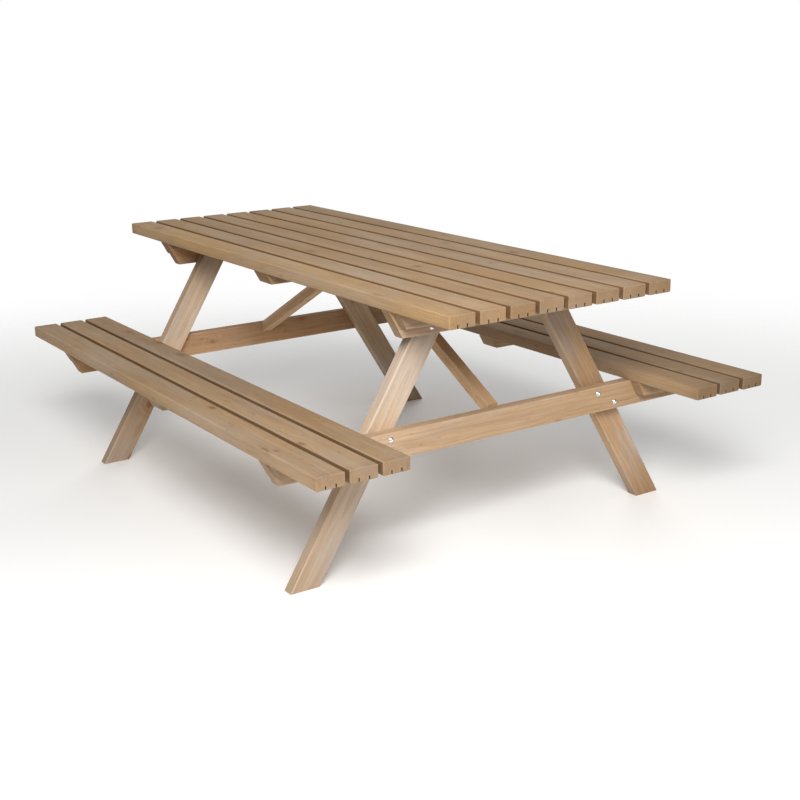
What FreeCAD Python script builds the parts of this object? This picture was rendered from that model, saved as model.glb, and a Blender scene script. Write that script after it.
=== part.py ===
"""Picnic table: an eight-board top and two three-board benches on a pair of A-frames.

Frame: +Z up, X along the boards, Y across the table, origin on the ground under the middle.
The end at +X is called front and the side at +Y is called right. Sizes are in millimetres.
"""
import FreeCAD, Part
import os
import Sketcher

# ---------------------------------------------------------------- driving sizes

# Millimetres, apart from the two angles, which are in degrees.
SIZES = [
    # overall
    ("table_height", 750),
    ("table_length", 1880),
    ("overall_width", 1500),
    ("bench_height", 428),
    ("bench_length", 1896),
    # boards
    ("board_width", 80),
    ("board_thickness", 35),
    ("board_easing", 4),
    ("top_gap", 14),
    ("bench_gap", 12),
    ("kerf_width", 4),
    ("kerf_depth", 10),
    ("kerf_spacing", 30),
    # A-frames
    ("frame_width", 76),
    ("frame_thickness", 35),
    ("frame_easing", 3),
    ("leg_span", 1296),
    ("leg_gap_inset", 14),
    ("leg_bench_inset", 113),
    ("end_cut_angle", 29),
    ("bearer_inset", 2),
    ("crossbeam_inset", 8),
    # battens that tie the boards together
    ("end_batten_depth", 44),
    ("end_batten_inset", 9),
    ("centre_batten_inset", 4),
    ("bench_batten_outer_inset", 13),
    ("bench_batten_inner_inset", 2),
    # braces
    ("brace_depth", 35),
    ("brace_thickness", 35),
    ("brace_foot_rise", 43),
    ("brace_heel", 21),
    # domed coach screws through the cross timbers into the legs
    ("coach_diameter", 8),
    ("coach_clearance", 0.5),
    ("coach_head_diameter", 16),
    ("coach_head_height", 4.5),
    ("coach_socket_flats", 5),
    ("coach_socket_depth", 3),
    ("coach_tip", 8),
    ("coach_end_cover", 8),
    ("coach_side_step", 22),
    ("coach_height_step", 18),
    ("bearer_coach_rise", 18),
    # countersunk wood screws
    ("screw_diameter", 5),
    ("screw_hole_clearance", 0.5),
    ("screw_head_diameter", 9),
    ("screw_socket_diameter", 3.4),
    ("screw_socket_depth", 1.4),
    ("screw_tip", 6),
    ("screw_bite", 25),
    ("screw_side_step", 26),
    ("pilot_clearance", 0.1),
    ("pilot_extra_depth", 1),
    ("toe_screw_angle", 45),
    ("toe_screw_drop", 12),
    ("toe_screw_cover", 1.5),
]

TOP_BOARDS = 8
BENCH_BOARDS = 3

# The head of each leg stands under this gap between top boards, counted from the middle one as 0.
LEG_GAP = 2

# ---------------------------------------------------------------- sizes worked out from them

TOP_UNDERSIDE = "(sizes.table_height - sizes.board_thickness)"
BENCH_UNDERSIDE = "(sizes.bench_height - sizes.board_thickness)"
TOP_PITCH = "(sizes.board_width + sizes.top_gap)"
BENCH_PITCH = "(sizes.board_width + sizes.bench_gap)"
TOP_EDGE = f"({TOP_BOARDS} * sizes.board_width / 2 + {TOP_BOARDS - 1} * sizes.top_gap / 2)"
BENCH_OUTER = "(sizes.overall_width / 2)"
BENCH_INNER = f"({BENCH_OUTER} - sizes.board_width - {BENCH_BOARDS - 1} * {BENCH_PITCH})"

LEG_FACE = "(sizes.leg_span / 2)"
LEG_INNER_FACE = f"({LEG_FACE} - sizes.frame_thickness)"
BEAM_FACE = f"({LEG_FACE} + sizes.frame_thickness)"
BATTEN_FACE = f"({BEAM_FACE} + sizes.frame_thickness)"
BATTEN_MIDDLE = f"({BEAM_FACE} + sizes.frame_thickness / 2)"
LEG_TOP = f"({LEG_GAP} * {TOP_PITCH} - sizes.leg_gap_inset)"
LEG_SLOPE = (f"(({BENCH_INNER} - sizes.leg_bench_inset - {LEG_TOP})"
             f" / ({TOP_UNDERSIDE} - {BENCH_UNDERSIDE}))")
LEG_HALF_WIDTH = f"(sizes.frame_width / 2 * sqrt(1 + {LEG_SLOPE} ^ 2))"
END_CUT = "tan(sizes.end_cut_angle * 1 deg)"
BEAM_BOTTOM = f"({BENCH_UNDERSIDE} - sizes.frame_width)"
BEARER_BOTTOM = f"({TOP_UNDERSIDE} - sizes.frame_width)"

CENTRE_BATTEN_SIDE = "(sizes.frame_width / 2)"
BRACE_SIDE = "(sizes.brace_thickness / 2)"
BRACE_FOOT = f"({BEAM_BOTTOM} + sizes.brace_foot_rise)"
BRACE_HEEL = f"({TOP_UNDERSIDE} - sizes.brace_heel)"
BRACE_SLOPE = f"(({BRACE_HEEL} - {BRACE_FOOT}) / ({LEG_FACE} - {CENTRE_BATTEN_SIDE}))"
BRACE_RISE = f"(sizes.brace_depth * sqrt(1 + {BRACE_SLOPE} ^ 2))"

COACH_HOLE = "(sizes.coach_diameter + sizes.coach_clearance)"
COACH_PILOT = "(sizes.coach_diameter + sizes.pilot_clearance)"
COACH_BITE = "(sizes.frame_thickness - sizes.coach_end_cover)"
SCREW_HOLE = "(sizes.screw_diameter + sizes.screw_hole_clearance)"
PILOT = "(sizes.screw_diameter + sizes.pilot_clearance)"
PILOT_DEPTH = "(sizes.screw_bite + sizes.pilot_extra_depth)"

# A toe screw enters the side of a brace and leaves the middle of its end at this distance.
TOE_RUN = f"({BRACE_SIDE} / sin(sizes.toe_screw_angle * 1 deg))"
TOE_SETBACK = f"({BRACE_SIDE} / tan(sizes.toe_screw_angle * 1 deg))"
TOE_SINK = "(sizes.screw_head_diameter / 2 / tan(sizes.toe_screw_angle * 1 deg) + sizes.toe_screw_cover)"

doc = FreeCAD.newDocument("picnic_table")
sheet = doc.addObject("Spreadsheet::Sheet", "sizes")
for row, (alias, value) in enumerate(SIZES, start=1):
    sheet.set(f"A{row}", alias)
    sheet.set(f"B{row}", str(value))
    sheet.setAlias(f"B{row}", alias)
doc.recompute()

sub_parts = []
cuts = []


def value_of(expression):
    """The number that an expression over the sheet gives now."""
    return float(sheet.evalExpression(expression))


def leg_centre(height):
    """Distance of a leg's centre line from the table's middle plane at a height."""
    return f"({LEG_TOP} + {LEG_SLOPE} * ({TOP_UNDERSIDE} - {height}))"


def top_board_centre(number):
    """Y of a top board, counted from 1 at the left edge."""
    return f"({number - (TOP_BOARDS + 1) / 2} * {TOP_PITCH})"


def bench_board_centre(number):
    """Distance of a bench board from the middle plane, counted from 1 at the outer edge."""
    return f"({BENCH_OUTER} - sizes.board_width / 2 - {number - 1} * {BENCH_PITCH})"


# ---------------------------------------------------------------- bodies and sketches


def new_body(name):
    body = doc.addObject("PartDesign::Body", name)
    body.Label = name
    sub_parts.append(body)
    return body


def origin_feature(body, role):
    return next(feature for feature in body.Origin.OriginFeatures if feature.Role == role)


def new_sketch(body, name, plane, base=("0", "0", "0"), angle="0"):
    """A sketch on one of the body's own planes, moved by base and turned within that plane."""
    sketch = body.newObject("Sketcher::SketchObject", f"{body.Name}_{name}")
    sketch.AttachmentSupport = [(origin_feature(body, plane), "")]
    sketch.MapMode = "FlatFace"
    for axis, expression in zip("xyz", base):
        sketch.setExpression(f"AttachmentOffset.Base.{axis}", expression)
    sketch.setExpression("AttachmentOffset.Rotation.Angle", angle)
    return sketch


def pin(sketch, geometry, position, point):
    """Hold a point of a sketch at two expressions."""
    for kind, expression in zip(("DistanceX", "DistanceY"), point):
        index = sketch.addConstraint(
            Sketcher.Constraint(kind, -1, 1, geometry, position, value_of(expression)))
        sketch.setExpression(f"Constraints[{index}]", expression)


def draw_outline(sketch, points):
    """A closed outline of straight lines through points given as expressions."""
    first = sketch.GeometryCount
    corners = [FreeCAD.Vector(value_of(x), value_of(y), 0) for x, y in points]
    count = len(corners)
    for i in range(count):
        sketch.addGeometry(Part.LineSegment(corners[i], corners[(i + 1) % count]))
    for i in range(count):
        sketch.addConstraint(Sketcher.Constraint("Coincident", first + i, 2, first + (i + 1) % count, 1))
    for i, point in enumerate(points):
        pin(sketch, first + i, 1, point)


def draw_circles(sketch, centres, diameter):
    for centre in centres:
        middle = FreeCAD.Vector(value_of(centre[0]), value_of(centre[1]), 0)
        circle = Part.Circle(middle, FreeCAD.Vector(0, 0, 1), value_of(diameter) / 2)
        geometry = sketch.addGeometry(circle)
        pin(sketch, geometry, 3, centre)
        index = sketch.addConstraint(Sketcher.Constraint("Diameter", geometry, value_of(diameter)))
        sketch.setExpression(f"Constraints[{index}]", diameter)


def draw_hexagons(sketch, centres, flats):
    corner = f"({flats} / 2 / cos(30 deg))"
    for x, y in centres:
        draw_outline(sketch, [(f"{x} + {corner} * cos({turn} deg)", f"{y} + {corner} * sin({turn} deg)")
                              for turn in range(0, 360, 60)])


def pad(body, sketch, length, backwards=False):
    """A block from a sketch, which stands for the timber before it is drilled."""
    feature = body.newObject("PartDesign::Pad", f"{body.Name}_pad")
    feature.Profile = sketch
    feature.setExpression("Length", length)
    feature.Reversed = backwards
    body.Tip = feature
    doc.recompute()
    return feature


def pocket(body, sketch, length=None, forwards=False):
    """Cut a sketch out of the body, to a length or through everything."""
    feature = body.newObject("PartDesign::Pocket", f"{body.Name}_pocket")
    feature.Profile = sketch
    feature.Type = "ThroughAll" if length is None else "Length"
    if length is not None:
        feature.setExpression("Length", length)
    feature.Reversed = forwards
    body.Tip = feature
    cuts.append(feature)


def countersunk_holes(body, sketch, forwards):
    """Screw holes right through a timber, each opened to the screw's cone where it starts."""
    doc.recompute()
    feature = body.newObject("PartDesign::Hole", f"{body.Name}_holes")
    feature.Profile = sketch
    feature.DepthType = "ThroughAll"
    feature.setExpression("Diameter", SCREW_HOLE)
    feature.HoleCutType = "Countersink"
    feature.HoleCutCustomValues = True
    feature.setExpression("HoleCutDiameter", "sizes.screw_head_diameter")
    feature.HoleCutCountersinkAngle = 90
    feature.Reversed = forwards
    body.Tip = feature
    cuts.append(feature)


def revolve(body, sketch):
    feature = body.newObject("PartDesign::Revolution", f"{body.Name}_turned")
    feature.Profile = sketch
    feature.ReferenceAxis = (sketch, ["H_Axis"])
    feature.Angle = 360
    body.Tip = feature
    return feature


def turned_cut(body, sketch):
    feature = body.newObject("PartDesign::Groove", f"{body.Name}_groove")
    feature.Profile = sketch
    feature.ReferenceAxis = (sketch, ["H_Axis"])
    feature.Angle = 360
    body.Tip = feature
    cuts.append(feature)


def copy_features(body, originals, rows=1, pitch="0", planes=()):
    """Repeat features in a row along Y, and then on the other side of each plane in turn."""
    feature = body.newObject("PartDesign::MultiTransform", f"{body.Name}_copies")
    feature.Originals = originals
    steps = []
    if rows > 1:
        row_of = body.newObject("PartDesign::LinearPattern", f"{body.Name}_row")
        row_of.Direction = (origin_feature(body, "Y_Axis"), [""])
        row_of.Mode = "Extent"
        row_of.setExpression("Length", f"{rows - 1} * {pitch}")
        row_of.Occurrences = rows
        steps.append(row_of)
    for plane in planes:
        mirror = body.newObject("PartDesign::Mirrored", f"{body.Name}_mirror")
        mirror.MirrorPlane = (origin_feature(body, plane), [""])
        steps.append(mirror)
    feature.Transformations = steps
    body.Tip = feature


def ease_long_edges(body, feature, along, radius):
    """Round the edges that run along a timber."""
    names = []
    for number, edge in enumerate(feature.Shape.Edges, start=1):
        start, end = (vertex.Point for vertex in edge.Vertexes)
        if abs((end - start).normalize().dot(along)) > 0.999:
            names.append(f"Edge{number}")
    fillet = body.newObject("PartDesign::Fillet", f"{body.Name}_easing")
    fillet.Base = (feature, names)
    fillet.setExpression("Radius", radius)
    body.Tip = fillet


# ---------------------------------------------------------------- boards


def board_screw_sides(number, count):
    """Sides of a board that meet a gap, which is where its screws are."""
    return [side for side, outermost in ((-1, 1), (1, count)) if number != outermost]


def make_board(name, length, y, z, screw_sides):
    """A board with eased edges, two relief kerfs underneath and pilot holes for its screws."""
    body = new_body(name)
    body.setExpression("Placement.Base.y", y)
    body.setExpression("Placement.Base.z", z)
    half = "sizes.board_width / 2"
    end = ("0", "0", f"-{length} / 2")
    section = new_sketch(body, "section", "YZ_Plane", base=end)
    draw_outline(section, [(f"-{half}", "0"), (half, "0"),
                           (half, "sizes.board_thickness"), (f"-{half}", "sizes.board_thickness")])
    blank = pad(body, section, length)
    ease_long_edges(body, blank, FreeCAD.Vector(1, 0, 0), "sizes.board_easing")

    kerfs = new_sketch(body, "kerfs", "YZ_Plane", base=end)
    for side in (-1, 1):
        edges = [f"({side} * sizes.kerf_spacing / 2 + {edge} * sizes.kerf_width / 2)" for edge in (-1, 1)]
        draw_outline(kerfs, [(edges[0], "0"), (edges[1], "0"),
                             (edges[1], "sizes.kerf_depth"), (edges[0], "sizes.kerf_depth")])
    pocket(body, kerfs, forwards=True)

    pilots = new_sketch(body, "pilots", "XY_Plane")
    stations = (f"-{BATTEN_MIDDLE}", "0", BATTEN_MIDDLE)
    draw_circles(pilots, [(x, f"{side} * sizes.screw_side_step") for x in stations for side in screw_sides],
                 PILOT)
    pocket(body, pilots, PILOT_DEPTH, forwards=True)


for number in range(1, TOP_BOARDS + 1):
    make_board(f"top_board_{number}", "sizes.table_length", top_board_centre(number),
               TOP_UNDERSIDE, board_screw_sides(number, TOP_BOARDS))

for side_name, side in (("left", -1), ("right", 1)):
    for number in range(1, BENCH_BOARDS + 1):
        screw_sides = [-side * s for s in board_screw_sides(number, BENCH_BOARDS)]
        make_board(f"{side_name}_bench_board_{number}", "sizes.bench_length",
                   f"{side} * {bench_board_centre(number)}", BENCH_UNDERSIDE, screw_sides)

# ---------------------------------------------------------------- where the fasteners go

# Each leg has two coach screws at the crossbeam, set diagonally, and two side by side at the
# bearer, given as (distance from the middle plane, height).
CROSSBEAM_COACH = []
BEARER_COACH = []
for step in (-1, 1):
    beam_height = f"({BEAM_BOTTOM} + sizes.frame_width / 2 - {step} * sizes.coach_height_step)"
    bearer_height = f"({BEARER_BOTTOM} + sizes.bearer_coach_rise)"
    CROSSBEAM_COACH.append((f"({leg_centre(beam_height)} + {step} * sizes.coach_side_step)", beam_height))
    BEARER_COACH.append((f"({leg_centre(bearer_height)} + {step} * sizes.coach_side_step)", bearer_height))

# Board screws stand in pairs, one on either side of each gap between two boards.
TOP_GAPS = [f"({gap} * {TOP_PITCH})" for gap in range(1 - TOP_BOARDS // 2, TOP_BOARDS // 2)]
BENCH_GAPS = [f"({bench_board_centre(number)} - {BENCH_PITCH} / 2)"
              for number in range(BENCH_BOARDS - 1, 0, -1)]
TOP_PAIR = f"({TOP_PITCH} / 2 - sizes.screw_side_step)"
BENCH_PAIR = f"({BENCH_PITCH} / 2 - sizes.screw_side_step)"
TOP_SCREWS = [f"({gap} + {step} * {TOP_PAIR})" for gap in TOP_GAPS for step in (-1, 1)]
BENCH_SCREWS = [f"({gap} + {step} * {BENCH_PAIR})" for gap in BENCH_GAPS for step in (-1, 1)]

# Level screws hold each end batten to the timber behind it, in line with every second gap.
TOP_LEVEL_SCREWS = TOP_GAPS[::2]
TOP_LEVEL_HEIGHT = f"({TOP_UNDERSIDE} - sizes.end_batten_depth / 2)"
BENCH_LEVEL_HEIGHT = f"({BENCH_UNDERSIDE} - sizes.end_batten_depth / 2)"

# ---------------------------------------------------------------- A-frames


def trapezoid(low, high, top, depth):
    """A timber seen from its side, with both ends cut back towards its lower edge."""
    cut = f"{depth} * {END_CUT}"
    bottom = f"({top} - {depth})"
    return [(low, top), (f"({low} + {cut})", bottom), (f"({high} - {cut})", bottom), (high, top)]


def make_leg(name, end, side):
    """A slanting leg, cut level at the ground and under the top."""
    body = new_body(name)
    face = ("0", "0", f"{end} * {LEG_FACE}")
    corners = ((-1, "0"), (1, "0"), (1, TOP_UNDERSIDE), (-1, TOP_UNDERSIDE))
    outline = new_sketch(body, "outline", "YZ_Plane", base=face)
    draw_outline(outline, [(f"{side} * ({leg_centre(z)} + {edge} * {LEG_HALF_WIDTH})", z)
                           for edge, z in corners])
    blank = pad(body, outline, "sizes.frame_thickness", backwards=end > 0)
    along = FreeCAD.Vector(0, -side * value_of(LEG_SLOPE), 1).normalize()
    ease_long_edges(body, blank, along, "sizes.frame_easing")
    pilots = new_sketch(body, "pilots", "YZ_Plane", base=face)
    draw_circles(pilots, [(f"{side} * {y}", z) for y, z in CROSSBEAM_COACH + BEARER_COACH], COACH_PILOT)
    pocket(body, pilots, f"{COACH_BITE} + sizes.pilot_extra_depth", forwards=end < 0)


def make_cross_timber(name, end, half_length, top, coach_screws, level_screws):
    """A timber across the outer faces of two legs, with its screw holes."""
    body = new_body(name)
    outer_face = ("0", "0", f"{end} * {BEAM_FACE}")
    outline = new_sketch(body, "outline", "YZ_Plane", base=outer_face)
    draw_outline(outline, trapezoid(f"(-{half_length})", half_length, top, "sizes.frame_width"))
    blank = pad(body, outline, "sizes.frame_thickness", backwards=end > 0)
    ease_long_edges(body, blank, FreeCAD.Vector(0, 1, 0), "sizes.frame_easing")

    holes = new_sketch(body, "coach_holes", "YZ_Plane", base=outer_face)
    draw_circles(holes, [(f"{side} * {y}", z) for y, z in coach_screws for side in (-1, 1)], COACH_HOLE)
    pocket(body, holes, forwards=end < 0)
    pilots = new_sketch(body, "pilots", "YZ_Plane", base=outer_face)
    draw_circles(pilots, level_screws, PILOT)
    pocket(body, pilots, PILOT_DEPTH, forwards=end < 0)
    return body


def make_end_batten(name, end, low, high, top, board_screws, level_screws):
    """A batten on edge against a bearer or crossbeam, screwed to it and up into the boards."""
    body = new_body(name)
    outer_face = ("0", "0", f"{end} * {BATTEN_FACE}")
    outline = new_sketch(body, "outline", "YZ_Plane", base=outer_face)
    draw_outline(outline, trapezoid(low, high, top, "sizes.end_batten_depth"))
    blank = pad(body, outline, "sizes.frame_thickness", backwards=end > 0)
    ease_long_edges(body, blank, FreeCAD.Vector(0, 1, 0), "sizes.frame_easing")
    underside = ("0", "0", f"{top} - sizes.end_batten_depth")
    upright = new_sketch(body, "board_screws", "XY_Plane", base=underside)
    draw_circles(upright, [(f"{end} * {BATTEN_MIDDLE}", y) for y in board_screws], SCREW_HOLE)
    countersunk_holes(body, upright, forwards=True)
    level = new_sketch(body, "level_screws", "YZ_Plane", base=outer_face)
    draw_circles(level, level_screws, SCREW_HOLE)
    countersunk_holes(body, level, forwards=end < 0)


def make_centre_batten(name, low, high, top, board_screws):
    """A batten laid flat under the middle of the boards."""
    body = new_body(name)
    outline = new_sketch(body, "outline", "YZ_Plane", base=("0", "0", f"-{CENTRE_BATTEN_SIDE}"))
    draw_outline(outline, trapezoid(low, high, top, "sizes.frame_thickness"))
    blank = pad(body, outline, "sizes.frame_width")
    ease_long_edges(body, blank, FreeCAD.Vector(0, 1, 0), "sizes.frame_easing")
    underside = ("0", "0", f"{top} - sizes.frame_thickness")
    upright = new_sketch(body, "board_screws", "XY_Plane", base=underside)
    draw_circles(upright, [("0", y) for y in board_screws], SCREW_HOLE)
    countersunk_holes(body, upright, forwards=True)
    return body


# ---------------------------------------------------------------- braces and their toe screws


def toe_screw_sketch(body, name, end, at_foot):
    """A sketch whose local X runs down a toe screw, from the brace's right side to its end."""
    outward = end if at_foot else -end
    face = LEG_FACE if at_foot else CENTRE_BATTEN_SIDE
    top = BENCH_UNDERSIDE if at_foot else TOP_UNDERSIDE
    start = f"{end} * {face} - {outward} * {TOE_SETBACK}"
    angle = "-sizes.toe_screw_angle" if outward > 0 else "180 + sizes.toe_screw_angle"
    return new_sketch(body, name, "XY_Plane", base=(start, BRACE_SIDE, f"{top} - sizes.toe_screw_drop"),
                      angle=angle)


def cut_toe_pilot(body, name, end, at_foot):
    """The pilot hole for a toe screw in the timber that the brace meets."""
    pilot = toe_screw_sketch(body, name, end, at_foot)
    stop = f"{TOE_RUN} + {PILOT_DEPTH}"
    draw_outline(pilot, [(TOE_SINK, "0"), (stop, "0"), (stop, f"{PILOT} / 2"), (TOE_SINK, f"{PILOT} / 2")])
    turned_cut(body, pilot)


def make_brace(name, end):
    """A diagonal from the inside of a crossbeam up to the side of the centre batten."""
    body = new_body(name)
    shoulder = f"({LEG_FACE} - ({TOP_UNDERSIDE} - {BRACE_FOOT} - {BRACE_RISE}) / {BRACE_SLOPE})"
    outline = new_sketch(body, "outline", "XZ_Plane", base=("0", "0", f"-{BRACE_SIDE}"))
    draw_outline(outline, [(f"{end} * {LEG_FACE}", BRACE_FOOT),
                           (f"{end} * {LEG_FACE}", f"({BRACE_FOOT} + {BRACE_RISE})"),
                           (f"{end} * {shoulder}", TOP_UNDERSIDE),
                           (f"{end} * {CENTRE_BATTEN_SIDE}", TOP_UNDERSIDE),
                           (f"{end} * {CENTRE_BATTEN_SIDE}", BRACE_HEEL)])
    blank = pad(body, outline, "sizes.brace_thickness")
    along = FreeCAD.Vector(1, 0, -end * value_of(BRACE_SLOPE)).normalize()
    ease_long_edges(body, blank, along, "sizes.frame_easing")
    hole = f"{SCREW_HOLE} / 2"
    head = "(sizes.screw_head_diameter / 2)"
    mouth = f"(-2 * {TOE_SINK})"
    beyond = f"(2 * {TOE_RUN})"
    for place in ("top", "foot"):
        sketch = toe_screw_sketch(body, f"{place}_hole", end, place == "foot")
        draw_outline(sketch, [(mouth, "0"), (beyond, "0"), (beyond, hole),
                              (f"{TOE_SINK} + {head} - {hole}", hole), (TOE_SINK, head), (mouth, head)])
        turned_cut(body, sketch)


# ---------------------------------------------------------------- build the frames

BEARER_HALF = f"({TOP_EDGE} - sizes.bearer_inset)"
CROSSBEAM_HALF = f"({BENCH_OUTER} - sizes.crossbeam_inset)"
END_BATTEN_HALF = f"({TOP_EDGE} - sizes.end_batten_inset)"
CENTRE_BATTEN_HALF = f"({TOP_EDGE} - sizes.centre_batten_inset)"
BENCH_BATTEN = (f"({BENCH_INNER} + sizes.bench_batten_inner_inset)",
                f"({BENCH_OUTER} - sizes.bench_batten_outer_inset)")


def on_side(side, low, high):
    """The two ends of a bench timber on one side, lower Y first."""
    return (low, high) if side > 0 else (f"(-{high})", f"(-{low})")


for end_name, end in (("front", 1), ("rear", -1)):
    for side_name, side in (("left", -1), ("right", 1)):
        make_leg(f"{end_name}_{side_name}_leg", end, side)
        make_end_batten(f"{end_name}_{side_name}_bench_batten", end, *on_side(side, *BENCH_BATTEN),
                        BENCH_UNDERSIDE, [f"{side} * {y}" for y in BENCH_SCREWS],
                        [(f"{side} * {y}", BENCH_LEVEL_HEIGHT) for y in BENCH_GAPS])
    crossbeam = make_cross_timber(f"{end_name}_crossbeam", end, CROSSBEAM_HALF, BENCH_UNDERSIDE,
                                  CROSSBEAM_COACH, [(f"{side} * {y}", BENCH_LEVEL_HEIGHT)
                                                    for y in BENCH_GAPS for side in (-1, 1)])
    cut_toe_pilot(crossbeam, "toe_pilot", end, True)
    make_cross_timber(f"{end_name}_top_bearer", end, BEARER_HALF, TOP_UNDERSIDE, BEARER_COACH,
                      [(y, TOP_LEVEL_HEIGHT) for y in TOP_LEVEL_SCREWS])
    make_end_batten(f"{end_name}_top_batten", end, f"(-{END_BATTEN_HALF})", END_BATTEN_HALF,
                    TOP_UNDERSIDE, TOP_SCREWS, [(y, TOP_LEVEL_HEIGHT) for y in TOP_LEVEL_SCREWS])
    make_brace(f"{end_name}_brace", end)

centre_batten = make_centre_batten("centre_top_batten", f"(-{CENTRE_BATTEN_HALF})", CENTRE_BATTEN_HALF,
                                   TOP_UNDERSIDE, TOP_SCREWS)
for end_name, end in (("front", 1), ("rear", -1)):
    cut_toe_pilot(centre_batten, f"{end_name}_toe_pilot", end, False)
for side_name, side in (("left", -1), ("right", 1)):
    make_centre_batten(f"{side_name}_centre_bench_batten", *on_side(side, *BENCH_BATTEN),
                       BENCH_UNDERSIDE, [f"{side} * {y}" for y in BENCH_SCREWS])

# ---------------------------------------------------------------- coach screws

FOUR_CORNERS = ("XZ_Plane", "YZ_Plane")


def draw_coach_screw(sketch):
    """Half of a coach screw's section: domed head outwards, plain shank inwards, on the local X axis."""
    height = "sizes.coach_head_height"
    radius = "(sizes.coach_head_diameter / 2)"
    shank = "(sizes.coach_diameter / 2)"
    reach = f"(sizes.frame_thickness + {COACH_BITE})"
    dome = f"(({radius} ^ 2 + {height} ^ 2) / 2 / {height})"
    corners = [(height, "0"), ("0", radius), ("0", shank),
               (f"sizes.coach_tip - {reach}", shank), (f"-{reach}", "0")]
    points = [FreeCAD.Vector(value_of(x), value_of(y), 0) for x, y in corners]
    centre = FreeCAD.Vector(value_of(height) - value_of(dome), 0, 0)
    edge = points[1] - centre
    circle = Part.Circle(centre, FreeCAD.Vector(0, 0, 1), value_of(dome))
    sketch.addGeometry(Part.ArcOfCircle(circle, 0, edge.getAngle(FreeCAD.Vector(1, 0, 0))))
    for i in range(1, len(points)):
        sketch.addGeometry(Part.LineSegment(points[i], points[(i + 1) % len(points)]))
    for i in range(len(points)):
        sketch.addConstraint(Sketcher.Constraint("Coincident", i, 2, (i + 1) % len(points), 1))
        pin(sketch, i, 1, corners[i])
    index = sketch.addConstraint(Sketcher.Constraint("Radius", 0, value_of(dome)))
    sketch.setExpression(f"Constraints[{index}]", dome)


def make_coach_screws(name, places):
    """Coach screws at all four legs, each with a hexagon socket in its head."""
    body = new_body(name)
    features = []
    for number, (y, z) in enumerate(places, start=1):
        turned = new_sketch(body, f"turned_{number}", "XY_Plane", base=(BEAM_FACE, y, z))
        draw_coach_screw(turned)
        features.append(revolve(body, turned))
    crown = ("0", "0", f"{BEAM_FACE} + sizes.coach_head_height")
    sockets = new_sketch(body, "sockets", "YZ_Plane", base=crown)
    draw_hexagons(sockets, places, "sizes.coach_socket_flats")
    pocket(body, sockets, "sizes.coach_socket_depth")
    features.append(body.Tip)
    copy_features(body, features, planes=FOUR_CORNERS)


make_coach_screws("crossbeam_coach_screws", CROSSBEAM_COACH)
make_coach_screws("bearer_coach_screws", BEARER_COACH)

# ---------------------------------------------------------------- wood screws


def draw_screw(sketch, start, length):
    """Half of a countersunk screw's section, with its head at start on the local X axis."""
    socket = "(sizes.screw_socket_diameter / 2)"
    head = "(sizes.screw_head_diameter / 2)"
    shank = "(sizes.screw_diameter / 2)"
    end = f"({start} + {length})"
    draw_outline(sketch, [(f"{start} + sizes.screw_socket_depth", "0"),
                          (f"{start} + sizes.screw_socket_depth", socket),
                          (start, socket),
                          (start, head),
                          (f"{start} + {head} - {shank}", shank),
                          (f"{end} - sizes.screw_tip", shank),
                          (end, "0")])


def make_board_screws(name, x, underside, depth, gaps, pair, pitch, planes):
    """Upright screws through a batten into the boards, in pairs along a row of gaps."""
    body = new_body(name)
    features = []
    for number, step in enumerate((-1, 1), start=1):
        screw = new_sketch(body, f"turned_{number}", "XZ_Plane",
                           base=(x, f"{underside} - {depth}", f"-({gaps[0]} + {step} * {pair})"),
                           angle="90")
        draw_screw(screw, "0", f"({depth} + sizes.screw_bite)")
        features.append(revolve(body, screw))
    copy_features(body, features, len(gaps), pitch, planes)


def make_level_screws(name, y, height, rows, pitch, planes):
    """Screws through an end batten into the timber behind it."""
    body = new_body(name)
    screw = new_sketch(body, "turned", "XY_Plane", base=(BATTEN_FACE, y, height), angle="180")
    draw_screw(screw, "0", "(sizes.frame_thickness + sizes.screw_bite)")
    copy_features(body, [revolve(body, screw)], rows, pitch, planes)


def make_brace_screws(name):
    body = new_body(name)
    features = []
    for place in ("top", "foot"):
        screw = toe_screw_sketch(body, place, 1, place == "foot")
        draw_screw(screw, TOE_SINK, f"({TOE_RUN} - {TOE_SINK} + sizes.screw_bite)")
        features.append(revolve(body, screw))
    copy_features(body, features, planes=("YZ_Plane",))


make_board_screws("top_end_screws", BATTEN_MIDDLE, TOP_UNDERSIDE, "sizes.end_batten_depth",
                  TOP_GAPS, TOP_PAIR, TOP_PITCH, ("YZ_Plane",))
make_board_screws("top_centre_screws", "0", TOP_UNDERSIDE, "sizes.frame_thickness",
                  TOP_GAPS, TOP_PAIR, TOP_PITCH, ())
make_board_screws("bench_end_screws", BATTEN_MIDDLE, BENCH_UNDERSIDE, "sizes.end_batten_depth",
                  BENCH_GAPS, BENCH_PAIR, BENCH_PITCH, FOUR_CORNERS)
make_board_screws("bench_centre_screws", "0", BENCH_UNDERSIDE, "sizes.frame_thickness",
                  BENCH_GAPS, BENCH_PAIR, BENCH_PITCH, ("XZ_Plane",))
make_level_screws("top_batten_screws", TOP_LEVEL_SCREWS[0], TOP_LEVEL_HEIGHT,
                  len(TOP_LEVEL_SCREWS), f"2 * {TOP_PITCH}", ("YZ_Plane",))
make_level_screws("bench_batten_screws", BENCH_GAPS[0], BENCH_LEVEL_HEIGHT,
                  len(BENCH_GAPS), BENCH_PITCH, FOUR_CORNERS)
make_brace_screws("brace_screws")

# ---------------------------------------------------------------- check and write

doc.recompute()
for item in doc.Objects:
    if "Invalid" in item.State or "Error" in item.State:
        raise RuntimeError(f"{item.Name} failed: {item.State}")
for cut in cuts:
    removed = cut.BaseFeature.Shape.Volume - cut.Shape.Volume
    if removed < 1:
        raise RuntimeError(f"{cut.Name} cuts nothing")
for body in sub_parts:
    if body.Shape.isNull() or not body.Shape.isValid():
        raise RuntimeError(f"{body.Label} has no valid shape")

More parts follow.
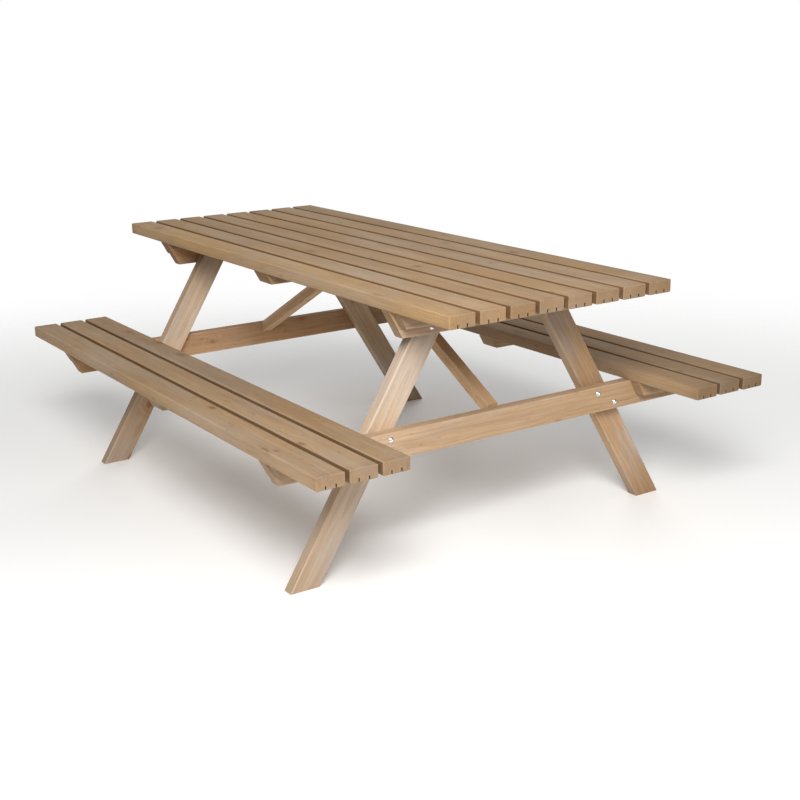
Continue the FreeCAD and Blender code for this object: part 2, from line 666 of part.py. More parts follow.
os.makedirs("parts", exist_ok=True)
for body in sub_parts:
    body.Shape.exportStep(f"parts/{body.Label}.step")
    print(body.Label, len(body.Shape.Solids), round(body.Shape.Volume / 1000, 2))
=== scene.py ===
import math
import random

import bmesh
import bpy
from mathutils import Matrix, Vector


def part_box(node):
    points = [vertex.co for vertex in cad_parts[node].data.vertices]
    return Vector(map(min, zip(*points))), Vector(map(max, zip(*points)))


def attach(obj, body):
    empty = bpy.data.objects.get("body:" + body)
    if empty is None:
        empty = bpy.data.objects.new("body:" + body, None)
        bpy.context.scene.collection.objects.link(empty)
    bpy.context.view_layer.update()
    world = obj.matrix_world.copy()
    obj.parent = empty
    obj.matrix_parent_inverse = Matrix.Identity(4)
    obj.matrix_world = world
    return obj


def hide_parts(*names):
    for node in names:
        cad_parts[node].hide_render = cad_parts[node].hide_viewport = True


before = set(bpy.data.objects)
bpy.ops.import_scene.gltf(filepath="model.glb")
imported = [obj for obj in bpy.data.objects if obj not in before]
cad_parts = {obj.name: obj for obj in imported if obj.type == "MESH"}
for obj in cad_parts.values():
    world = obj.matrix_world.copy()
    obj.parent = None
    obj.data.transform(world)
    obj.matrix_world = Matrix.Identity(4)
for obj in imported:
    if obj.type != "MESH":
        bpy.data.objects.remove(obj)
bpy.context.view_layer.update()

# ---------------------------------------------------------------- legs
# Four planed softwood legs, sawn level at the ground and under the top. They are the palest timber
# on the table: flat-sawn pieces with wide growth rings, a few orange knots and grey handling marks.

ALONG_X = Vector((1, 0, 0))
ALONG_Y = Vector((0, 1, 0))
ALONG_Z = Vector((0, 0, 1))
chance = random.Random(11)


def shade(tree, kind, inputs=None, **settings):
    """A shader node, with each input given as a value or as another node's output."""
    made = tree.nodes.new("ShaderNode" + kind)
    for name, value in settings.items():
        setattr(made, name, value)
    for socket, value in (inputs or {}).items():
        if isinstance(value, bpy.types.NodeSocket):
            tree.links.new(value, made.inputs[socket])
        else:
            made.inputs[socket].default_value = value
    return made


def calc(tree, operation, *values):
    return shade(tree, "Math", dict(enumerate(values)), operation=operation).outputs[0]


def calc_vector(tree, operation, *values):
    made = shade(tree, "VectorMath", dict(enumerate(values)), operation=operation)
    return made.outputs["Value" if operation in ("LENGTH", "DOT_PRODUCT", "DISTANCE") else "Vector"]


def ease(tree, value, start, end, low=0.0, high=1.0):
    """A soft step: low at start and high at end."""
    inputs = {"Value": value, "From Min": start, "From Max": end, "To Min": low, "To Max": high}
    return shade(tree, "MapRange", inputs, interpolation_type="SMOOTHSTEP").outputs[0]


def blend_colour(tree, factor, first, second, mode="MIX"):
    made = shade(tree, "Mix", {0: factor, 6: first, 7: second}, data_type="RGBA", blend_type=mode)
    return made.outputs[2]


def noise(tree, place, scale, detail=2.0, roughness=0.5):
    """Noise between 0 and 1, with its scale given along, across and through the timber."""
    stretched = calc_vector(tree, "MULTIPLY", place, scale)
    inputs = {"Vector": stretched, "Scale": 1.0, "Detail": detail, "Roughness": roughness}
    return shade(tree, "TexNoise", inputs).outputs[0]


def new_group(name, inputs, outputs):
    """A node group with named sockets, and its input and output nodes."""
    tree = bpy.data.node_groups.new(name, "ShaderNodeTree")
    for in_out, sockets in (("INPUT", inputs), ("OUTPUT", outputs)):
        for socket, kind in sockets:
            tree.interface.new_socket(socket, in_out=in_out, socket_type="NodeSocket" + kind)
    return tree, tree.nodes.new("NodeGroupInput").outputs, tree.nodes.new("NodeGroupOutput").inputs


KNOT_CELL = 0.11
KNOT_STRETCH = 0.55
KNOT_RADIUS_LEAST = 0.0035
KNOT_RADIUS_SPAN = 0.008
KNOT_RINGS_PER_METRE = 700
RING_DRIFT = 0.05
RING_WAVER = 0.006
RING_SWELL = 0.011
UNEVEN_YEARS = 2.4
RAYS = 15
SPLIT_DEPTH = -2.5


def make_softwood_group():
    """Growth rings about a pith, knots that the rings flow round, fibre streaks and end grain."""
    tree, given, out = new_group(
        "softwood",
        [("Place", "Vector"), ("Pith Across", "Float"), ("Pith Below", "Float"), ("Ring Width", "Float"),
         ("Variety", "Float"), ("Knots", "Float"), ("End", "Float"), ("Face", "Float"),
         ("Early Wood", "Color"), ("Late Wood", "Color"), ("Knot Wood", "Color")],
        [("Color", "Color"), ("Height", "Float"), ("Roughness", "Float")])
    link = tree.links.new
    shifted = shade(tree, "VectorMath", {0: (3.1, 1.7, 2.3), "Scale": given["Variety"]}, operation="SCALE")
    start = calc_vector(tree, "ADD", given["Place"], shifted.outputs["Vector"])

    flat = shade(tree, "SeparateXYZ", {0: start})
    spot = shade(tree, "CombineXYZ", {0: calc(tree, "MULTIPLY", flat.outputs[0], KNOT_STRETCH),
                                        1: flat.outputs[1]})
    cells = shade(tree, "TexVoronoi", {"Vector": spot.outputs[0], "Scale": 1 / KNOT_CELL},
                  voronoi_dimensions="2D", feature="F1")
    pick = shade(tree, "SeparateColor", {0: cells.outputs["Color"]})
    reach = calc(tree, "MULTIPLY", cells.outputs["Distance"], KNOT_CELL)
    present = calc(tree, "GREATER_THAN", given["Knots"], pick.outputs[0])
    present = calc(tree, "MULTIPLY", present, given["Face"])
    radius = calc(tree, "MULTIPLY_ADD", pick.outputs[1], KNOT_RADIUS_SPAN, KNOT_RADIUS_LEAST)
    uneven = noise(tree, start, (60, 60, 60), 2)
    reach = calc(tree, "MULTIPLY", reach, calc(tree, "MULTIPLY_ADD", uneven, 0.5, 0.75))
    near = calc(tree, "DIVIDE", reach, radius)
    knot = calc(tree, "MULTIPLY", present, ease(tree, near, 1.05, 0.85))
    halo = calc(tree, "MULTIPLY", present, ease(tree, near, 2.6, 0.9))
    flow = calc(tree, "MULTIPLY", present, ease(tree, near, 4.5, 0.4))

    parts = shade(tree, "SeparateXYZ", {0: given["Place"]})
    drift = noise(tree, start, (1.1, 5, 5), 2)
    waver = noise(tree, start, (5, 30, 30), 2)
    across = calc(tree, "SUBTRACT", parts.outputs[1], given["Pith Across"])
    across = calc(tree, "MULTIPLY_ADD", calc(tree, "SUBTRACT", drift, 0.5), RING_DRIFT, across)
    through = calc(tree, "ADD", parts.outputs[2], given["Pith Below"])
    through = calc(tree, "MULTIPLY_ADD", calc(tree, "SUBTRACT", waver, 0.5), RING_WAVER, through)
    from_pith = calc(tree, "SQRT", calc(tree, "ADD", calc(tree, "MULTIPLY", across, across),
                                        calc(tree, "MULTIPLY", through, through)))
    from_pith = calc(tree, "MULTIPLY_ADD", flow, RING_SWELL, from_pith)
    years = calc(tree, "DIVIDE", from_pith, given["Ring Width"])
    uneven_years = shade(tree, "TexNoise", {"W": years, "Scale": 0.31, "Detail": 2.0},
                         noise_dimensions="1D")
    years = calc(tree, "MULTIPLY_ADD", uneven_years.outputs[0], UNEVEN_YEARS, years)
    season = calc(tree, "FRACT", years)
    late = calc(tree, "MULTIPLY", ease(tree, season, 0.25, 0.88), ease(tree, season, 1.0, 0.93))

    fibre = noise(tree, start, (9, 420, 420), 3, 0.6)
    streak = noise(tree, start, (1.6, 60, 60), 3, 0.6)
    patch = noise(tree, start, (2.4, 11, 11), 3)

    colour = blend_colour(tree, calc(tree, "MULTIPLY", late, 0.45), given["Early Wood"], given["Late Wood"])
    colour = blend_colour(tree, ease(tree, streak, 0.42, 0.80, 0.0, 0.60), colour, given["Late Wood"])
    dark_fibre = ease(tree, fibre, 0.30, 0.75, 0.22, 0.0)
    colour = blend_colour(tree, dark_fibre, colour, (0.16, 0.10, 0.06, 1), "MULTIPLY")
    dark_patch = ease(tree, patch, 0.35, 0.70, 0.32, 0.0)
    colour = blend_colour(tree, dark_patch, colour, (0.60, 0.55, 0.50, 1), "MULTIPLY")
    colour = blend_colour(tree, calc(tree, "MULTIPLY", halo, 0.35), colour, given["Knot Wood"])
    knot_rings = calc(tree, "FRACT", calc(tree, "MULTIPLY", reach, KNOT_RINGS_PER_METRE))
    knot_colour = blend_colour(tree, calc(tree, "MULTIPLY", knot_rings, 0.35), given["Knot Wood"],
                               (0.12, 0.065, 0.03, 1))
    colour = blend_colour(tree, calc(tree, "MULTIPLY", knot, 0.85), colour, knot_colour)

    angle = calc(tree, "ARCTAN2", through, across)
    rays = shade(tree, "TexNoise", {"W": calc(tree, "MULTIPLY", angle, RAYS), "Scale": 1.0, "Detail": 3.0},
                 noise_dimensions="1D")
    split = calc(tree, "MULTIPLY", ease(tree, rays.outputs[0], 0.77, 0.81), given["End"])
    sawn_end = blend_colour(tree, 0.35, colour, (0.62, 0.55, 0.47, 1), "MULTIPLY")
    colour = blend_colour(tree, given["End"], colour, sawn_end)
    colour = blend_colour(tree, split, colour, (0.10, 0.075, 0.055, 1))
    link(colour, out["Color"])

    height = calc(tree, "MULTIPLY_ADD", late, 0.35, calc(tree, "MULTIPLY", fibre, 0.55))
    height = calc(tree, "MULTIPLY_ADD", knot, 0.5, height)
    height = calc(tree, "MULTIPLY_ADD", split, SPLIT_DEPTH, height)
    link(height, out["Height"])
    rough = calc(tree, "MULTIPLY_ADD", fibre, 0.20, 0.55)
    rough = calc(tree, "MULTIPLY_ADD", late, -0.10, rough)
    link(calc(tree, "MULTIPLY_ADD", knot, -0.12, rough), out["Roughness"])
    return tree


ARRIS_CHIPS = 0.009
ARRIS_WIDTH = (0.0055, 0.0005)


def make_weathering_and_shade_group():
    """What handling and rain do to timber: rubbed arrises, silvery patches, dirt and small dents, plus
    painted shade on the sides that meet a gap, and dirt and painted shade towards the ends.
    """
    tree, given, out = new_group(
        "weathering_and_shade",
        [("Color", "Color"), ("Height", "Float"), ("Roughness", "Float"), ("Place", "Vector"),
         ("Half Size", "Vector"), ("Variety", "Float"), ("Greying", "Float"), ("Dirt", "Float"),
         ("Wear", "Float"), ("End Dirt And Shade", "Float"), ("End Reach", "Float"), ("Gap Shade And Dirt", "Float")],
        [("Color", "Color"), ("Height", "Float"), ("Roughness", "Float")])
    link = tree.links.new
    shifted = shade(tree, "VectorMath", {0: (5.3, 2.9, 4.1), "Scale": given["Variety"]}, operation="SCALE")
    start = calc_vector(tree, "ADD", given["Place"], shifted.outputs["Vector"])
    inset = calc_vector(tree, "SUBTRACT", given["Half Size"], calc_vector(tree, "ABSOLUTE", given["Place"]))
    sides = shade(tree, "SeparateXYZ", {0: inset})
    u, v, w = sides.outputs
    nearest = calc(tree, "MINIMUM", v, w)
    other = calc(tree, "MAXIMUM", v, w)
    second = calc(tree, "MAXIMUM", nearest, calc(tree, "MINIMUM", other, u))
    chips = noise(tree, start, (30, 90, 90), 3)
    arris = calc(tree, "MULTIPLY_ADD", calc(tree, "SUBTRACT", chips, 0.5), ARRIS_CHIPS, second)
    rubbed = calc(tree, "MULTIPLY", ease(tree, arris, *ARRIS_WIDTH), given["Wear"])

    cloud = noise(tree, start, (1.8, 7, 7), 4, 0.6)
    silver = calc(tree, "MULTIPLY", ease(tree, cloud, 0.38, 0.68), given["Greying"])
    spots = noise(tree, start, (24, 60, 60), 3, 0.65)
    dirt = calc(tree, "MULTIPLY", ease(tree, spots, 0.60, 0.74), given["Dirt"])
    # Darker towards the ends: dirt where the reach is short, painted shade where it is long, as on the
    # legs.
    ends = ease(tree, calc(tree, "DIVIDE", u, given["End Reach"]), 1.0, 0.0)
    dirt = calc(tree, "MAXIMUM", dirt, calc(tree, "MULTIPLY", ends, given["End Dirt And Shade"]))

    grey = shade(tree, "HueSaturation", {"Saturation": 0.45, "Value": 0.92, "Color": given["Color"]})
    colour = blend_colour(tree, silver, given["Color"], grey.outputs[0])
    colour = blend_colour(tree, dirt, colour, (0.42, 0.36, 0.29, 1), "MULTIPLY")
    pale = shade(tree, "HueSaturation", {"Saturation": 0.85, "Value": 1.22, "Color": colour})
    colour = blend_colour(tree, rubbed, colour, pale.outputs[0])
    # Painted shade with some dirt: the sides that meet a gap are darkened as the shade inside the gap.
    gap_shade_and_dirt = calc(tree, "MULTIPLY", given["Gap Shade And Dirt"], ease(tree, cloud, 0.2, 0.5, 0.85, 1.0))
    link(blend_colour(tree, gap_shade_and_dirt, colour, (0.50, 0.41, 0.33, 1), "MULTIPLY"), out["Color"])

    dents = noise(tree, start, (18, 34, 34), 2)
    dent = ease(tree, dents, 0.70, 0.80)
    height = calc(tree, "MULTIPLY_ADD", dent, -0.8, given["Height"])
    link(calc(tree, "MULTIPLY_ADD", rubbed, -0.3, height), out["Height"])
    rough = calc(tree, "MULTIPLY_ADD", silver, 0.12, given["Roughness"])
    link(calc(tree, "MULTIPLY_ADD", rubbed, -0.08, rough), out["Roughness"])
    return tree


softwood = make_softwood_group()
weathering_and_shade = make_weathering_and_shade_group()
TURNED_TO = (0.55, 0.80)
TURNED_TO_GAP = (0.60, 0.92)
PITH_ACROSS = (-0.4, 0.4)
PITH_BELOW = (0.03, 0.07)
RING_WIDTH = (0.0032, 0.0052)
GRAIN_DEPTH = 0.0006


def timber_material(name, centre, half_size, along, across, look, gap_sides=()):
    """Softwood for one piece: its grain follows the piece, and its rings and knots are its own.

    Painted shade, with some dirt, darkens the sides, -1 or 1 across the piece, that meet a gap.
    """
    through = along.cross(across)
    turn = Matrix((along, across, through))
    material = bpy.data.materials.new(name)
    material.use_nodes = True
    tree = material.node_tree
    surface = tree.nodes["Principled BSDF"]
    where = shade(tree, "TexCoord").outputs["Object"]
    place = shade(tree, "Mapping", {"Vector": where, "Location": -(turn @ centre),
                                    "Rotation": turn.to_euler("XYZ")}).outputs[0]
    facing = shade(tree, "NewGeometry").outputs["Normal"]
    turned = [calc(tree, "ABSOLUTE", calc_vector(tree, "DOT_PRODUCT", facing, axis))
              for axis in (along, through)]
    end, face = (ease(tree, amount, *TURNED_TO) for amount in turned)
    sideways = calc_vector(tree, "DOT_PRODUCT", facing, across)
    # Painted shade with some dirt on the sides that meet a gap, picked out by which way they face.
    gap_shade_and_dirt = 0.0
    for side in gap_sides:
        outward = calc(tree, "MULTIPLY", sideways, side)
        gap_shade_and_dirt = calc(tree, "ADD", gap_shade_and_dirt, ease(tree, outward, *TURNED_TO_GAP))
    variety = chance.uniform(0, 20)
    tone = chance.uniform(1 - look["spread"], 1 + look["spread"])
    warmth = chance.uniform(-0.5, 0.5) * look["spread"]
    tint = (tone * (1 + warmth / 2), tone, tone * (1 - warmth))
    early, late, knot = [tuple(c * t for c, t in zip(colour, tint)) + (1,)
                         for colour in (look["early"], look["late"], look["knot"])]
    growth = {"Place": place, "Pith Across": chance.uniform(*PITH_ACROSS) * half_size[1],
              "Pith Below": chance.uniform(*PITH_BELOW), "Ring Width": chance.uniform(*RING_WIDTH),
              "Variety": variety, "Knots": look["knots"], "End": end, "Face": face,
              "Early Wood": early, "Late Wood": late, "Knot Wood": knot}
    wood = shade(tree, "Group", growth, node_tree=softwood)
    marks = {"Color": wood.outputs["Color"], "Height": wood.outputs["Height"],
             "Roughness": wood.outputs["Roughness"], "Place": place, "Half Size": half_size,
             "Variety": variety, "Greying": look["greying"], "Dirt": look["dirt"], "Wear": look["wear"],
             "End Dirt And Shade": look["end_dirt_and_shade"], "End Reach": look["end_reach"], "Gap Shade And Dirt": gap_shade_and_dirt}
    aged = shade(tree, "Group", marks, node_tree=weathering_and_shade)
    grain = shade(tree, "Bump", {"Height": aged.outputs["Height"], "Strength": 0.55,
                                 "Distance": GRAIN_DEPTH})
    tree.links.new(aged.outputs["Color"], surface.inputs["Base Color"])
    tree.links.new(aged.outputs["Roughness"], surface.inputs["Roughness"])
    tree.links.new(grain.outputs[0], surface.inputs["Normal"])
    surface.inputs["Specular IOR Level"].default_value = 0.2
    return material


def paint(node, material):
    """Gives a CAD node one material."""
    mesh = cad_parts[node].data
    mesh.materials.clear()
    mesh.materials.append(material)


def finish_timber(node, along, across, look):
    """Gives a CAD timber its softwood."""
    low, high = (Vector(corner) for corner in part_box(node))
    centre = (low + high) / 2
    half_size = []
    for axis in (along, across, along.cross(across)):
        reach = [axis.dot(vertex.co - centre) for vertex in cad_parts[node].data.vertices]
        half_size.append((max(reach) - min(reach)) / 2)
    paint(node, timber_material(node + "_softwood", centre, half_size, along, across, look))


def toned(look, tint):
    """The same timber with its colours scaled by a tint given as red, green and blue; some tints are
    another log's colour, some are painted shade.
    """
    colours = {name: tuple(c * t for c, t in zip(look[name], tint)) for name in ("early", "late", "knot")}
    return dict(look, **colours)


# The legs' end darkening reaches a quarter metre along them: painted shade, darker towards the foot and the
# top.
leg_look = {"early": (0.68, 0.52, 0.36), "late": (0.54, 0.34, 0.185), "knot": (0.40, 0.21, 0.09),
            "knots": 0.20, "greying": 0.70, "dirt": 0.30, "wear": 0.5, "spread": 0.03,
            "end_dirt_and_shade": 0.50, "end_reach": 0.26}
# Painted shade: the legs further back and to the right are darkened, as the light falls off towards them.
LEG_SHADE_TINTS = {"front_left": (1.0, 1.0, 1.02), "front_right": (0.80, 0.69, 0.56),
             "rear_left": (0.84, 0.75, 0.63), "rear_right": (0.74, 0.70, 0.64)}
END_SLACK = 0.001
for end in ("front", "rear"):
    for side in ("left", "right"):
        node = f"{end}_{side}_leg"
        low, high = (Vector(corner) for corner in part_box(node))
        foot = [v.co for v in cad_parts[node].data.vertices if v.co.z < low.z + END_SLACK]
        head = [v.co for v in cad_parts[node].data.vertices if v.co.z > high.z - END_SLACK]
        run = sum(head, Vector()) / len(head) - sum(foot, Vector()) / len(foot)
        run.x = 0
        run.normalize()
        finish_timber(node, run, ALONG_X.cross(run), toned(leg_look, LEG_SHADE_TINTS[f"{end}_{side}"]))

# ---------------------------------------------------------------- crossbeams and bearers
# Planed softwood on edge, screwed across the outer faces of the legs. The long crossbeams carry the
# benches and the short bearers carry the top. Both are pinker and closer in the grain than the legs.

beam_look = {"early": (0.56, 0.38, 0.22), "late": (0.43, 0.255, 0.125), "knot": (0.33, 0.17, 0.07),
             "knots": 0.22, "greying": 0.30, "dirt": 0.40, "wear": 0.5, "spread": 0.05,
             "end_dirt_and_shade": 0.2, "end_reach": 0.045}
# Painted shade: the rear crossbeam and bearer are darkened, as the light falls off towards the back.
BEAM_SHADE_TINTS = {"front": (0.97, 0.97, 0.98), "rear": (0.80, 0.69, 0.58)}
for end, tint in BEAM_SHADE_TINTS.items():
    for kind in ("crossbeam", "top_bearer"):
        finish_timber(f"{end}_{kind}", ALONG_Y, ALONG_Z, toned(beam_look, tint))

# ---------------------------------------------------------------- battens
# Shorter softwood lengths screwed up into the boards: on edge beside the bearers and crossbeams, and
# laid flat under the middle of the top and of each bench.

batten_look = {"early": (0.50, 0.345, 0.20), "late": (0.37, 0.225, 0.11), "knot": (0.29, 0.15, 0.06),
               "knots": 0.20, "greying": 0.25, "dirt": 0.45, "wear": 0.4, "spread": 0.07,
               "end_dirt_and_shade": 0.2, "end_reach": 0.045}
for end in ("front", "rear"):
    for node in (f"{end}_top_batten", f"{end}_left_bench_batten", f"{end}_right_bench_batten"):
        finish_timber(node, ALONG_Y, ALONG_Z, batten_look)
for node in ("centre_top_batten", "left_centre_bench_batten", "right_centre_bench_batten"):
    finish_timber(node, ALONG_Y, ALONG_X, batten_look)

# ---------------------------------------------------------------- braces
# Two square softwood diagonals from the insides of the crossbeams up to the centre batten, held by a
# toe screw at each end.

BRACE_TINT = (1.35, 1.28, 1.20)
for end in ("front", "rear"):
    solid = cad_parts[f"{end}_brace"].data
    corners = solid.vertices
    runs = [corners[edge.vertices[0]].co - corners[edge.vertices[1]].co for edge in solid.edges]
    run = max(runs, key=lambda edge: edge.length)
    run.y = 0
    run.normalize()
    finish_timber(f"{end}_brace", run, run.cross(ALONG_Y), toned(batten_look, BRACE_TINT))

# ---------------------------------------------------------------- top boards
# Eight softwood boards with eased edges and two relief kerfs sawn along the underside. Each is a
# slightly different length and colour, and none is quite straight.

EASING = 0.004
EASING_STEPS = 5
KERF_WIDTH = 0.004
KERF_DEPTH = 0.010
KERF_SPACING = 0.030
END_BEVEL = 0.0012
STATIONS = 60
TRIM_MOST = 0.003
BEND = 0.0003
SIDE_WAVES = 2.3
CUP_WAVES = 1.7
SIDE_CLEARANCE = 0.0004
SHARP_ANGLE = math.radians(35)


def make_kerf_shade():
    """Sawn faces inside the kerfs, painted near black as the shade in the narrow slots."""
    material = bpy.data.materials.new("kerf_shade")
    material.use_nodes = True
    tree = material.node_tree
    surface = tree.nodes["Principled BSDF"]
    place = shade(tree, "TexCoord").outputs["Object"]
    streaks = noise(tree, place, (6, 300, 300), 3)
    specks = noise(tree, place, (140, 140, 140), 3)
    colour = blend_colour(tree, streaks, (0.035, 0.026, 0.018, 1), (0.075, 0.052, 0.034, 1))
    tree.links.new(blend_colour(tree, ease(tree, specks, 0.55, 0.7), colour, (0.11, 0.085, 0.06, 1)),
                   surface.inputs["Base Color"])
    tree.links.new(calc(tree, "MULTIPLY_ADD", specks, 0.2, 0.75), surface.inputs["Roughness"])
    rough_sawn = shade(tree, "Bump", {"Height": streaks, "Strength": 0.6, "Distance": GRAIN_DEPTH})
    tree.links.new(rough_sawn.outputs[0], surface.inputs["Normal"])
    return material


kerf_shade = make_kerf_shade()


def board_section(width, thickness):
    """The outline of a board seen end on, counted anticlockwise from the lower left."""
    half = width / 2
    corners = ((-half + EASING, EASING, 180), (half - EASING, EASING, 270),
               (half - EASING, thickness - EASING, 0), (-half + EASING, thickness - EASING, 90))
    outline = []
    for index, (y, z, start) in enumerate(corners):
        for step in range(EASING_STEPS + 1):
            angle = math.radians(start + 90 * step / EASING_STEPS)
            outline.append((y + EASING * math.cos(angle), z + EASING * math.sin(angle)))
        if index == 0:
            for middle in (-KERF_SPACING / 2, KERF_SPACING / 2):
                left, right = middle - KERF_WIDTH / 2, middle + KERF_WIDTH / 2
                outline += [(left, 0), (left, KERF_DEPTH), (right, KERF_DEPTH), (right, 0)]
    return outline


def make_board(node, look, gap_sides):
    """A board with its own small bends and sawn ends, kept inside the size of its CAD board."""
    low, high = (Vector(corner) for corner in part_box(node))
    size = high - low
    centre = (low + high) / 2
    outline = board_section(size.y, size.z)
    bend = [chance.uniform(-1, 1) for _ in range(4)]
    trims = [chance.uniform(0, TRIM_MOST) for _ in range(2)]
    ends = (low.x + trims[0], high.x - trims[1])
    places = [0.0, END_BEVEL]
    length = ends[1] - ends[0]
    places += [END_BEVEL + (length - 2 * END_BEVEL) * i / STATIONS for i in range(1, STATIONS)]
    places += [length - END_BEVEL, length]
    work = bmesh.new()
    rings = []
    for number, distance in enumerate(places):
        x = ends[0] + distance
        part = distance / length * 2 * math.pi
        at_end = number in (0, len(places) - 1)
        squeeze = END_BEVEL if at_end else 0.0
        side = BEND * (bend[0] * math.sin(part) + bend[1] * math.sin(SIDE_WAVES * part + bend[2]))
        cup = BEND * (0.5 + 0.5 * math.sin(CUP_WAVES * part + 3 * bend[3]))
        ring = []
        for y, z in outline:
            flat = 1 - (2 * y / size.y) ** 2
            inward = 1 - 2 * (SIDE_CLEARANCE + squeeze) / size.y
            lift = size.z / 2 + (z - size.z / 2) * (1 - 2 * squeeze / size.z)
            dish = cup * flat if z > size.z / 2 else 0
            ring.append(work.verts.new((x, centre.y + y * inward + side, low.z + lift - dish)))
        rings.append(ring)
    count = len(outline)
    for first, second in zip(rings, rings[1:]):
        for i in range(count):
            j = (i + 1) % count
            strip = work.faces.new((first[i], first[j], second[j], second[i]))
            # Faces inside the kerfs take the near-black painted shade material.
            strip.material_index = int(KERF_DEPTH in (outline[i][1], outline[j][1]))
    work.faces.new(list(reversed(rings[0])))
    work.faces.new(rings[-1])
    bmesh.ops.recalc_face_normals(work, faces=work.faces)
    mesh = bpy.data.meshes.new(node + "_planed")
    work.to_mesh(mesh)
    work.free()
    mesh.polygons.foreach_set("use_smooth", [True] * len(mesh.polygons))
    mesh.set_sharp_from_angle(angle=SHARP_ANGLE)
    board = bpy.data.objects.new(node + "_planed", mesh)
    bpy.context.scene.collection.objects.link(board)
    mesh.materials.append(timber_material(node + "_softwood", centre, tuple(size / 2), ALONG_X, ALONG_Y,
                                          look, gap_sides))
    mesh.materials.append(kerf_shade)
    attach(board, "root")
    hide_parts(node)


top_look = {"early": (0.47, 0.315, 0.172), "late": (0.375, 0.235, 0.115), "knot": (0.27, 0.145, 0.06),
            "knots": 0.16, "greying": 0.40, "dirt": 0.35, "wear": 0.3, "spread": 0.05,
            "end_dirt_and_shade": 0.2, "end_reach": 0.045}
TOP_TINTS = ((1.03, 0.99, 0.88), (0.98, 0.98, 0.98), (1.02, 1.01, 0.99), (0.97, 0.97, 0.99),
             (1.0, 0.99, 0.97), (1.01, 1.0, 0.98), (0.98, 0.96, 0.96), (0.97, 0.96, 0.95))
for number, tint in enumerate(TOP_TINTS, start=1):
    outer_sides = {1: [-1], len(TOP_TINTS): [1]}.get(number, [])
    gap_sides = [side for side in (-1, 1) if side not in outer_sides]
    make_board(f"top_board_{number}", toned(top_look, tint), gap_sides)

# ---------------------------------------------------------------- bench boards
# Three boards to each bench, from the same stock as the top and a little more knocked about. The right
# bench's boards are darkened all over as painted shade, the shadow of the top.

bench_look = dict(top_look, early=(0.455, 0.31, 0.17), dirt=0.45, wear=0.4)
# Painted shade: the right bench's boards are darkened for the shadow the top casts on them.
BENCH_SHADE_TINTS = {"left": (0.97, 0.95, 0.95), "right": (0.80, 0.79, 0.81)}
BENCH_OUTWARD = {"left": -1, "right": 1}
BENCH_BOARDS = 3
for side, tint in BENCH_SHADE_TINTS.items():
    for number in range(1, BENCH_BOARDS + 1):
        outer_ways = {1: [1], BENCH_BOARDS: [-1]}.get(number, [])
        gap_sides = [BENCH_OUTWARD[side] * way for way in (-1, 1) if way not in outer_ways]
        make_board(f"{side}_bench_board_{number}", toned(bench_look, tint), gap_sides)

# ---------------------------------------------------------------- coach screws
# Zinc-plated 8 mm coach screws, two to each leg at the crossbeam and two at the bearer, with low domed
# heads driven by a hexagon socket. The plating is bright with a bluish bloom and dull scuffs.


def make_plating_group():
    """Zinc plating: a clouded spangle, fine scuffs and dull patches."""
    tree, given, out = new_group(
        "zinc_plating", [("Place", "Vector"), ("Dulling", "Float")],
        [("Color", "Color"), ("Roughness", "Float"), ("Height", "Float")])
    link = tree.links.new
    cloud = noise(tree, given["Place"], (260, 260, 260), 3)
    scuff = noise(tree, given["Place"], (900, 2600, 1400), 2)
    dull = calc(tree, "MULTIPLY", ease(tree, cloud, 0.42, 0.66), given["Dulling"])
    bright = blend_colour(tree, cloud, (0.78, 0.79, 0.80, 1), (0.66, 0.69, 0.74, 1))
    link(blend_colour(tree, dull, bright, (0.40, 0.39, 0.37, 1)), out["Color"])
    scuffed = calc(tree, "MULTIPLY_ADD", scuff, 0.16, 0.20)
    link(calc(tree, "MULTIPLY_ADD", dull, 0.25, scuffed), out["Roughness"])
    link(calc(tree, "MULTIPLY_ADD", scuff, 0.4, cloud), out["Height"])
    return tree


plating = make_plating_group()


def zinc_material(name, dulling):
    material = bpy.data.materials.new(name)
    material.use_nodes = True
    tree = material.node_tree
    surface = tree.nodes["Principled BSDF"]
    surface.inputs["Metallic"].default_value = 1.0
    coat = shade(tree, "Group", node_tree=plating)
    tree.links.new(shade(tree, "TexCoord").outputs["Object"], coat.inputs["Place"])
    coat.inputs["Dulling"].default_value = dulling
    marks = shade(tree, "Bump", {"Height": coat.outputs["Height"], "Strength": 0.3, "Distance": 0.0001})
    tree.links.new(coat.outputs["Color"], surface.inputs["Base Color"])
    tree.links.new(coat.outputs["Roughness"], surface.inputs["Roughness"])
    tree.links.new(marks.outputs[0], surface.inputs["Normal"])
    return material


coach_zinc = zinc_material("coach_zinc_plate", 0.45)
for node in ("crossbeam_coach_screws", "bearer_coach_screws"):
    paint(node, coach_zinc)

# ---------------------------------------------------------------- wood screws
# Countersunk zinc-plated screws, driven up through the battens into the boards and level through the
# end battens. Their heads are duller than the coach screws', marked by the driver and the wet timber.

screw_zinc = zinc_material("screw_zinc_plate", 0.85)
for node in ("top_end_screws", "top_centre_screws", "bench_end_screws", "bench_centre_screws",
             "top_batten_screws", "bench_batten_screws", "brace_screws"):
    paint(node, screw_zinc)

# ---------------------------------------------------------------- floor, light and camera
# A pale round floor that thins out to nothing beyond the table, in front of a white surround. A broad
# soft key light stands at the front left, weaker ones at the right and the back, and the surround fills
# the rest.

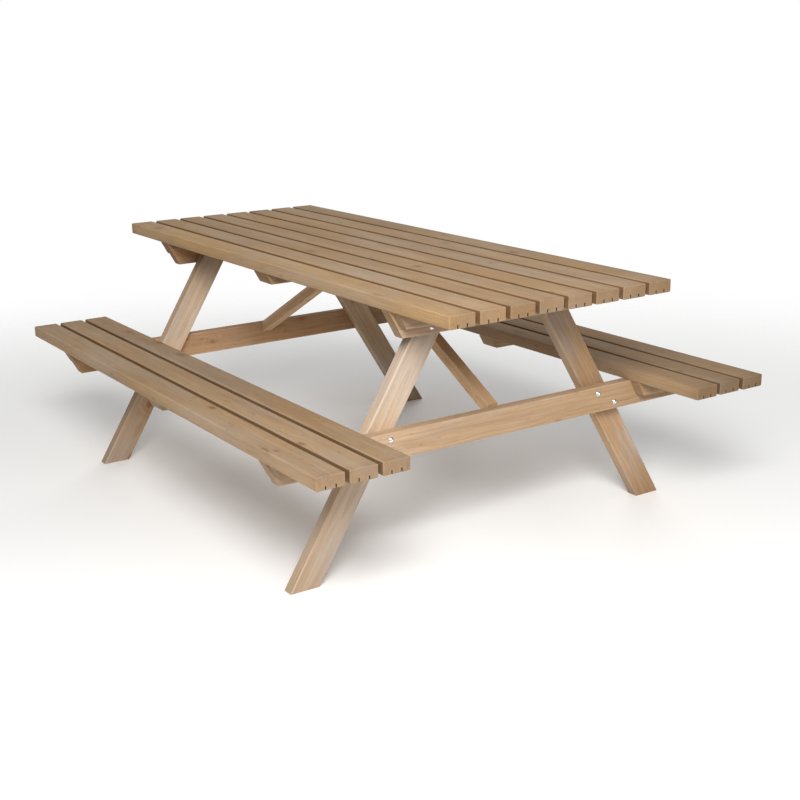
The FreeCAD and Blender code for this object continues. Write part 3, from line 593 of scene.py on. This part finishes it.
FLOOR_REACH = 4.5
FLOOR_SOLID = 1.3
FLOOR_GONE = 3.6
FLOOR_DROP = 0.0005
FLOOR_SEGMENTS = 96
work = bmesh.new()
bmesh.ops.create_circle(work, cap_ends=True, segments=FLOOR_SEGMENTS, radius=FLOOR_REACH)
floor_mesh = bpy.data.meshes.new("floor")
work.to_mesh(floor_mesh)
work.free()
floor = bpy.data.objects.new("floor", floor_mesh)
bpy.context.scene.collection.objects.link(floor)
floor.location.z = -FLOOR_DROP
floor_paint = bpy.data.materials.new("floor_paint")
floor_paint.use_nodes = True
tree = floor_paint.node_tree
surface = tree.nodes["Principled BSDF"]
surface.inputs["Base Color"].default_value = (0.93, 0.93, 0.92, 1)
surface.inputs["Roughness"].default_value = 0.9
from_middle = calc_vector(tree, "LENGTH", shade(tree, "TexCoord").outputs["Object"])
tree.links.new(ease(tree, from_middle, FLOOR_SOLID, FLOOR_GONE, 1.0, 0.0), surface.inputs["Alpha"])
floor_mesh.materials.append(floor_paint)

SURROUND_SEEN = 1.0
SURROUND_LIGHT = 0.33
world = bpy.data.worlds.new("studio")
bpy.context.scene.world = world
world.use_nodes = True
tree = world.node_tree
seen = shade(tree, "LightPath").outputs["Is Camera Ray"]
surround = tree.nodes["Background"]
surround.inputs["Color"].default_value = (1.0, 1.0, 1.0, 1)
tree.links.new(ease(tree, seen, 0.0, 1.0, SURROUND_LIGHT, SURROUND_SEEN), surround.inputs["Strength"])

TARGET = Vector((0, 0, 0.4))
LAMPS = (("key_light", (3.3, -2.2, 2.9), 1.8, 240), ("fill_light", (2.5, 4.5, 3.0), 3.0, 20),
         ("back_light", (-4.0, 3.2, 2.2), 3.0, 110))
for name, place, width, power in LAMPS:
    lamp = bpy.data.lights.new(name, "AREA")
    lamp.size = width
    lamp.energy = power
    lamp_object = bpy.data.objects.new(name, lamp)
    lamp_object.location = place
    lamp_object.visible_camera = False
    lamp_object.visible_glossy = name != "back_light"
    lamp_object.rotation_euler = (TARGET - Vector(place)).to_track_quat("-Z", "Y").to_euler()
    bpy.context.scene.collection.objects.link(lamp_object)

CAMERA_PLACE = Vector((3.2865, -2.1202, 1.4121))
YAW, PITCH, ROLL = (math.radians(angle) for angle in (33.017, 16.697, -0.996))
FOCAL_LENGTH = 57.13
LENS_SHIFT = (0.0375, 0.0062)
ahead = Vector((-math.cos(YAW) * math.cos(PITCH), math.sin(YAW) * math.cos(PITCH), -math.sin(PITCH)))
level = Vector((math.sin(YAW), math.cos(YAW), 0))
upright = level.cross(ahead)
right = level * math.cos(ROLL) + upright * math.sin(ROLL)
up = upright * math.cos(ROLL) - level * math.sin(ROLL)
lens = bpy.data.cameras.new("camera")
lens.lens = FOCAL_LENGTH
lens.shift_x, lens.shift_y = LENS_SHIFT
camera = bpy.data.objects.new("camera", lens)
camera.matrix_world = Matrix((right, up, -ahead)).transposed().to_4x4()
camera.location = CAMERA_PLACE
bpy.context.scene.collection.objects.link(camera)
bpy.context.scene.camera = camera
bpy.context.scene.view_settings.view_transform = "Standard"
